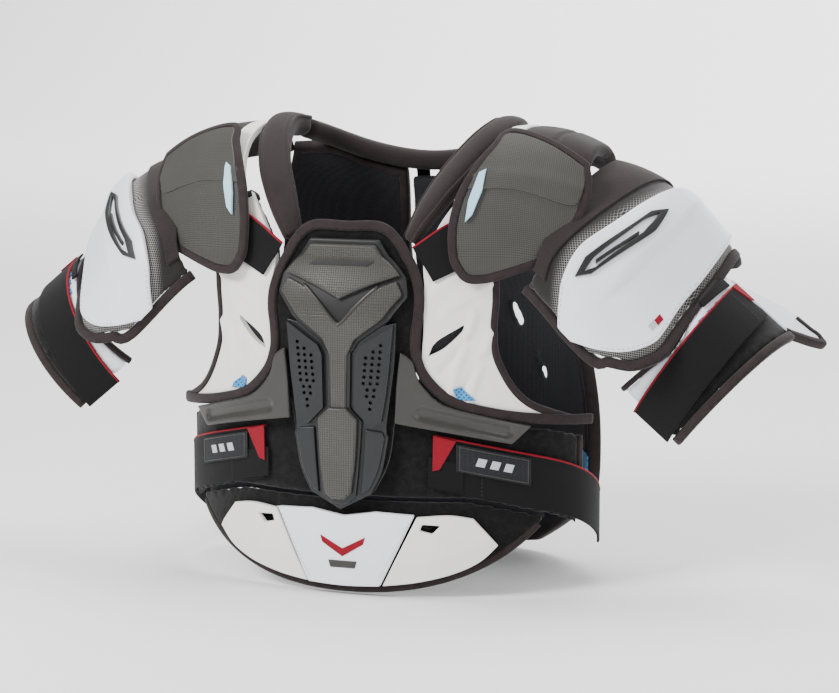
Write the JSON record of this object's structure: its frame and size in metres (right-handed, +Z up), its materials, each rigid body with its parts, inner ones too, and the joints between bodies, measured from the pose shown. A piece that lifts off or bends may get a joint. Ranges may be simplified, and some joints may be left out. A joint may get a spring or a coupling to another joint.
{
  "type": "ice hockey shoulder pads",
  "caption": "Padded vest with collar, moulded sternum, chest and belly guards, shoulder flaps, domed shoulder caps, hinged arm guards and elastic straps",
  "frame": {"origin": "midway between the shoulders, at the height where the shoulder arches rest on the wearer", "axes": "+X towards the wearer's left arm, -Y out of the chest, +Z up"},
  "size_m": [0.857, 0.2945, 0.4518],
  "materials": {
    "outer_fabric": "woven polyester over foam, dark brown charcoal",
    "lining": "brushed knit lining, black",
    "loop_fabric": "brushed loop fabric, black",
    "elastic": "ribbed elastic webbing, black",
    "white_panel": "moulded closed-cell foam with a smooth skin, white",
    "guard_plastic": "moulded plastic, satin olive grey",
    "dark_plastic": "moulded plastic, satin dark grey",
    "epaulette_foam": "moulded foam with a satin skin, grey olive",
    "red_web": "woven tape, red",
    "patch": "welded rubber patch, black"
  },
  "bodies": {
    "vest": {"back_pad_left": "lining", "back_pad_right": "lining", "spine_pad": "lining", "neck_webbing": "elastic", "shoulder_arch_left": "outer_fabric", "shoulder_arch_right": "outer_fabric", "collar_left": "outer_fabric", "collar_right": "outer_fabric", "collar_back": "outer_fabric", "chest_liner_left": "outer_fabric", "chest_liner_right": "outer_fabric", "chest_panel_left": "white_panel", "chest_panel_right": "white_panel", "clavicle_strap_left": "elastic", "clavicle_strap_right": "elastic", "sternum_backing": "outer_fabric", "sternum_plate": "dark_plastic", "sternum_head_guard": "guard_plastic", "sternum_keel": "guard_plastic", "sternum_vent_left": "dark_plastic", "sternum_vent_right": "dark_plastic", "rib_wing_left": "guard_plastic", "rib_wing_right": "guard_plastic", "belly_pad": "loop_fabric"},
    "belly_guard": {"belly_guard_pad": "outer_fabric", "belly_centre_panel": "white_panel", "belly_side_panel_left": "white_panel", "belly_side_panel_right": "white_panel"},
    "side_strap_left": {"torso_strap_left": "elastic", "strap_patch_left": "patch", "strap_pull_left": "red_web"},
    "side_strap_right": {"torso_strap_right": "elastic", "strap_patch_right": "patch", "strap_pull_right": "red_web"},
    "shoulder_flap_left": {"epaulette_left": "epaulette_foam", "epaulette_field_left": "epaulette_foam"},
    "shoulder_flap_right": {"epaulette_right": "epaulette_foam", "epaulette_field_right": "epaulette_foam"},
    "shoulder_cap_left": {"cap_liner_left": "outer_fabric", "cap_shell_left": "white_panel", "cap_yoke_left": "outer_fabric"},
    "shoulder_cap_right": {"cap_liner_right": "outer_fabric", "cap_shell_right": "white_panel", "cap_yoke_right": "outer_fabric"},
    "arm_guard_left": {"arm_pad_left": "white_panel", "arm_loop_panel_left": "loop_fabric", "arm_flare_left": "white_panel", "cap_tie_left": "elastic"},
    "arm_guard_right": {"arm_pad_right": "white_panel", "arm_loop_panel_right": "loop_fabric", "arm_flare_right": "white_panel", "cap_tie_right": "elastic"},
    "arm_strap_body_left": {"arm_strap_left": "elastic"},
    "arm_strap_body_right": {"arm_strap_right": "elastic"}
  },
  "joints": [
    {"name": "flap_lift_left", "type": "hinge", "parent": "vest", "child": "shoulder_flap_left", "pos_m": [0.1, -0.128, -0.084], "axis": [-0.2963, -0.5205, -0.8008], "range_deg": [0, 27]},
    {"name": "flap_lift_right", "type": "hinge", "parent": "vest", "child": "shoulder_flap_right", "pos_m": [-0.1, -0.128, -0.084], "axis": [-0.2963, 0.5205, 0.8008], "range_deg": [0, 27]},
    {"name": "arm_raise_left", "type": "hinge", "parent": "vest", "child": "shoulder_cap_left", "pos_m": [0.214, 0.01, 0.002], "axis": [0, -1, 0], "range_deg": [-2.5, 45]},
    {"name": "arm_raise_right", "type": "hinge", "parent": "vest", "child": "shoulder_cap_right", "pos_m": [-0.214, 0.01, 0.002], "axis": [0, 1, 0], "range_deg": [-2.5, 45]},
    {"name": "guard_flex_left", "type": "hinge", "parent": "shoulder_cap_left", "child": "arm_guard_left", "pos_m": [0.3272, -0.0525, -0.1459], "axis": [-0.3863, -0.8185, -0.4252], "range_deg": [-18, 12]},
    {"name": "guard_flex_right", "type": "hinge", "parent": "shoulder_cap_right", "child": "arm_guard_right", "pos_m": [-0.3272, -0.0525, -0.1459], "axis": [-0.3863, 0.8185, 0.4252], "range_deg": [-18, 12]},
    {"name": "arm_strap_peel_left", "type": "hinge", "parent": "arm_guard_left", "child": "arm_strap_body_left", "pos_m": [0.2836, -0.073, -0.2567], "axis": [-0.7679, 0.03, 0.6399], "range_deg": [0, 75]},
    {"name": "arm_strap_peel_right", "type": "hinge", "parent": "arm_guard_right", "child": "arm_strap_body_right", "pos_m": [-0.2836, -0.073, -0.2567], "axis": [-0.7679, -0.03, -0.6399], "range_deg": [0, 75]},
    {"name": "side_strap_peel_left", "type": "hinge", "parent": "vest", "child": "side_strap_left", "pos_m": [0.205, 0.035, -0.37], "axis": [0, 0, 1], "range_deg": [0, 55]},
    {"name": "side_strap_peel_right", "type": "hinge", "parent": "vest", "child": "side_strap_right", "pos_m": [-0.205, 0.035, -0.37], "axis": [0, 0, -1], "range_deg": [0, 55]},
    {"name": "belly_flex", "type": "hinge", "parent": "vest", "child": "belly_guard", "pos_m": [0, -0.137, -0.352], "axis": [-1, 0, 0], "range_deg": [-3, 25]}
  ]
}
